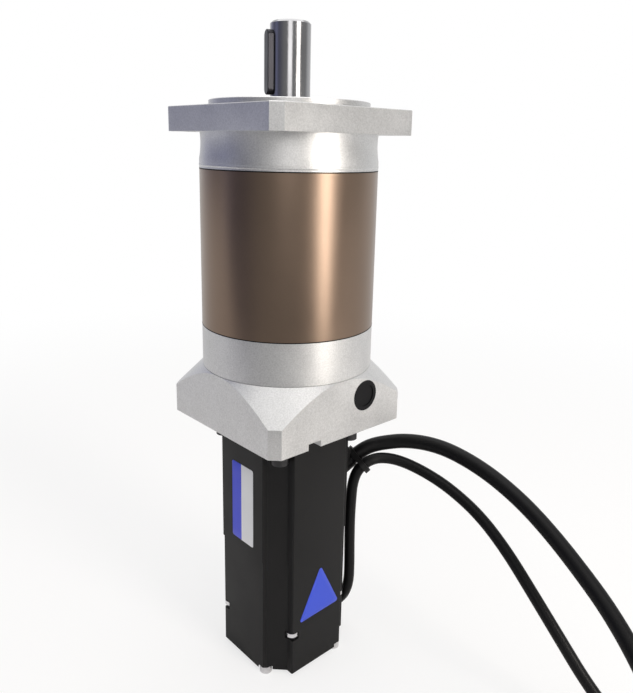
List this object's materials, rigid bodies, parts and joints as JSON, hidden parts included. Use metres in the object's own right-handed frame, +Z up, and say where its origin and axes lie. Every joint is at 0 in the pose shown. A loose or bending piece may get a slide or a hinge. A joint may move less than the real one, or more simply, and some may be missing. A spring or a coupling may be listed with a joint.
{
  "type": "planetary gear servo motor",
  "caption": "Servo motor with a coaxial planetary gearbox, square mounting flange, keyed output shaft, clamp-collar motor adapter and two free leads with connectors.",
  "frame": {"origin": "on the shaft's axis, at the surface that the motor's cover screws stand on", "axes": "+Z up along the output shaft; -Y is the side with the access plug; +X is the side that both leads leave"},
  "size_m": [0.1548, 0.3144, 0.344],
  "materials": {
    "satin_aluminium": "satin, turned and ground",
    "bronze_coating": "satin bronze coating on steel",
    "seal_rubber": "matt",
    "bearing_steel": "ground",
    "ground_steel": "fine ground, bright",
    "key_steel": "dark",
    "gear_steel": "machined",
    "dark_screw_steel": "blackened",
    "bright_screw_steel": "plated, bright",
    "black_rubber": "matt",
    "black_anodised": "satin black",
    "lamination_steel": "bare laminations",
    "copper": "enamelled wire",
    "board_green": "lacquered",
    "disc_plastic": "smooth",
    "black_plastic": "matt, moulded",
    "lead_jacket": "satin jacket"
  },
  "bodies": {
    "gearmotor": {"front_housing": "satin_aluminium", "output_seal": "seal_rubber", "output_bearing_front_outer": "bearing_steel", "output_bearing_rear_outer": "bearing_steel", "outer_spacer": "bearing_steel", "ring_gear_housing": "bronze_coating", "lower_ring": "satin_aluminium", "housing_screws": "dark_screw_steel", "input_bearing_outer": "bearing_steel", "motor_adapter": "satin_aluminium", "adapter_screws": "dark_screw_steel", "motor_screws": "dark_screw_steel", "motor_front_flange": "black_anodised", "motor_body": "black_anodised", "rear_bell": "black_anodised", "rear_cover": "black_anodised", "cover_screws": "bright_screw_steel", "seam_screws": "bright_screw_steel", "motor_bearing_front_outer": "bearing_steel", "motor_bearing_rear_outer": "bearing_steel", "stator_core": "lamination_steel", "stator_windings": "copper", "encoder_board": "board_green", "power_gland": "black_plastic", "encoder_gland": "black_plastic", "power_lead": "lead_jacket", "encoder_lead": "lead_jacket", "power_connector": "black_plastic", "encoder_connector": "black_plastic", "cable_tie": "black_plastic"},
    "output": {"output_shaft": "ground_steel", "output_key": "key_steel", "planet_pins_3": "gear_steel", "output_bearing_front_inner": "bearing_steel", "output_bearing_rear_inner": "bearing_steel", "inner_spacer": "bearing_steel"},
    "second_carrier": {"carrier_2": "gear_steel", "planet_pins_2": "gear_steel", "sun_gear_3": "gear_steel"},
    "first_carrier": {"carrier_1": "gear_steel", "planet_pins_1": "gear_steel", "sun_gear_2": "gear_steel"},
    "rotor": {"motor_shaft": "ground_steel", "motor_rotor": "lamination_steel", "input_hub": "gear_steel", "clamp_screw": "dark_screw_steel", "input_bearing_inner": "bearing_steel", "motor_bearing_front_inner": "bearing_steel", "motor_bearing_rear_inner": "bearing_steel", "encoder_disc": "disc_plastic"},
    "plug": {"access_plug": "black_rubber"},
    "planet_1a_body": {"planet_1a": "gear_steel"},
    "planet_1b_body": {"planet_1b": "gear_steel"},
    "planet_1c_body": {"planet_1c": "gear_steel"},
    "planet_2a_body": {"planet_2a": "gear_steel"},
    "planet_2b_body": {"planet_2b": "gear_steel"},
    "planet_2c_body": {"planet_2c": "gear_steel"},
    "planet_3a_body": {"planet_3a": "gear_steel"},
    "planet_3b_body": {"planet_3b": "gear_steel"},
    "planet_3c_body": {"planet_3c": "gear_steel"}
  },
  "joints": [
    {"name": "output_spin", "type": "hinge", "parent": "gearmotor", "child": "output", "pos_m": [0, 0, 0.304], "axis": [0, 0, 1], "continuous": true},
    {"name": "second_carrier_spin", "type": "hinge", "parent": "gearmotor", "child": "second_carrier", "pos_m": [0, 0, 0.225], "axis": [0, 0, 1], "continuous": true},
    {"name": "first_carrier_spin", "type": "hinge", "parent": "gearmotor", "child": "first_carrier", "pos_m": [0, 0, 0.202], "axis": [0, 0, 1], "continuous": true},
    {"name": "rotor_spin", "type": "hinge", "parent": "gearmotor", "child": "rotor", "pos_m": [0, 0, 0.1], "axis": [0, 0, 1], "continuous": true},
    {"name": "planet_3a_spin", "type": "hinge", "parent": "output", "child": "planet_3a_body", "pos_m": [0, 0.0225, 0.251], "axis": [0, 0, 1], "continuous": true},
    {"name": "planet_3b_spin", "type": "hinge", "parent": "output", "child": "planet_3b_body", "pos_m": [-0.01949, -0.01125, 0.251], "axis": [0, 0, 1], "continuous": true},
    {"name": "planet_3c_spin", "type": "hinge", "parent": "output", "child": "planet_3c_body", "pos_m": [0.01949, -0.01125, 0.251], "axis": [0, 0, 1], "continuous": true},
    {"name": "planet_2a_spin", "type": "hinge", "parent": "second_carrier", "child": "planet_2a_body", "pos_m": [0, 0.0225, 0.2245], "axis": [0, 0, 1], "continuous": true},
    {"name": "planet_2b_spin", "type": "hinge", "parent": "second_carrier", "child": "planet_2b_body", "pos_m": [-0.01949, -0.01125, 0.2245], "axis": [0, 0, 1], "continuous": true},
    {"name": "planet_2c_spin", "type": "hinge", "parent": "second_carrier", "child": "planet_2c_body", "pos_m": [0.01949, -0.01125, 0.2245], "axis": [0, 0, 1], "continuous": true},
    {"name": "planet_1a_spin", "type": "hinge", "parent": "first_carrier", "child": "planet_1a_body", "pos_m": [0, 0.0192, 0.2025], "axis": [0, 0, 1], "continuous": true},
    {"name": "planet_1b_spin", "type": "hinge", "parent": "first_carrier", "child": "planet_1b_body", "pos_m": [-0.01663, -0.0096, 0.2025], "axis": [0, 0, 1], "continuous": true},
    {"name": "planet_1c_spin", "type": "hinge", "parent": "first_carrier", "child": "planet_1c_body", "pos_m": [0.01663, -0.0096, 0.2025], "axis": [0, 0, 1], "continuous": true},
    {"name": "plug_pull", "type": "slide", "parent": "gearmotor", "child": "plug", "axis": [0, -1, 0], "range_m": [0, 0.02]}
  ],
  "couplings": [
    {"joint": "second_carrier_spin", "follows": "output_spin", "ratio": 5},
    {"joint": "first_carrier_spin", "follows": "output_spin", "ratio": 25},
    {"joint": "rotor_spin", "follows": "output_spin", "ratio": 200},
    {"joint": "planet_3a_spin", "follows": "output_spin", "ratio": -2.6667},
    {"joint": "planet_3b_spin", "follows": "output_spin", "ratio": -2.6667},
    {"joint": "planet_3c_spin", "follows": "output_spin", "ratio": -2.6667},
    {"joint": "planet_2a_spin", "follows": "output_spin", "ratio": -13.333},
    {"joint": "planet_2b_spin", "follows": "output_spin", "ratio": -13.333},
    {"joint": "planet_2c_spin", "follows": "output_spin", "ratio": -13.333},
    {"joint": "planet_1a_spin", "follows": "output_spin", "ratio": -58.333},
    {"joint": "planet_1b_spin", "follows": "output_spin", "ratio": -58.333},
    {"joint": "planet_1c_spin", "follows": "output_spin", "ratio": -58.333}
  ]
}
